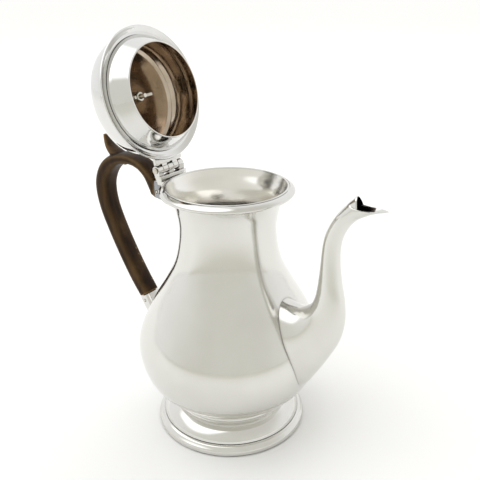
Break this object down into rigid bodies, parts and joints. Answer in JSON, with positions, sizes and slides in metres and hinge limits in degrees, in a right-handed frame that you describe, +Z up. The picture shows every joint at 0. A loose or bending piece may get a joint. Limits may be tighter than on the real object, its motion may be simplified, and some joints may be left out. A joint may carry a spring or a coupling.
{
  "type": "coffee pot",
  "caption": "Polished silver coffee pot with a baluster body, swan-neck spout, carved wooden loop handle and hinged domed lid.",
  "frame": {"origin": "centre of the bounding box's bottom, on the resting plane, with the lid open", "axes": "+Z up, +X towards the spout, -X towards the handle, Y along the lid's hinge pin"},
  "size_m": [0.2172, 0.1196, 0.2555],
  "materials": {
    "polished_silver": "mirror-polished silver with fine handling scratches",
    "fitting_silver": "bright but less finely polished silver of the bolt, washer and nut",
    "dark_wood": "dark brown close-grained hardwood, waxed to a satin"
  },
  "bodies": {
    "pot": {"body_shell": "polished_silver", "rim_moulding": "polished_silver", "foot_collar": "polished_silver", "foot_skirt": "polished_silver", "foot_base_wire": "polished_silver", "spout": "polished_silver", "upper_socket": "polished_silver", "lower_socket": "polished_silver", "upper_socket_pin": "polished_silver", "lower_socket_pin": "polished_silver", "hinge_body_leaf": "polished_silver", "hinge_pin": "polished_silver", "handle_grip": "dark_wood"},
    "lid": {"lid_flange": "polished_silver", "lid_dome": "polished_silver", "lid_bezel": "polished_silver", "hinge_lid_leaf": "polished_silver", "finial_collar": "polished_silver", "finial_knop": "dark_wood", "finial_bolt": "fitting_silver", "finial_washer": "fitting_silver", "finial_wing_nut": "fitting_silver"}
  },
  "joints": [
    {"name": "lid_hinge", "type": "hinge", "parent": "pot", "child": "lid", "pos_m": [-0.0436, 0, 0.1691], "axis": [0, 1, 0], "range_deg": [0, 106.85]}
  ]
}
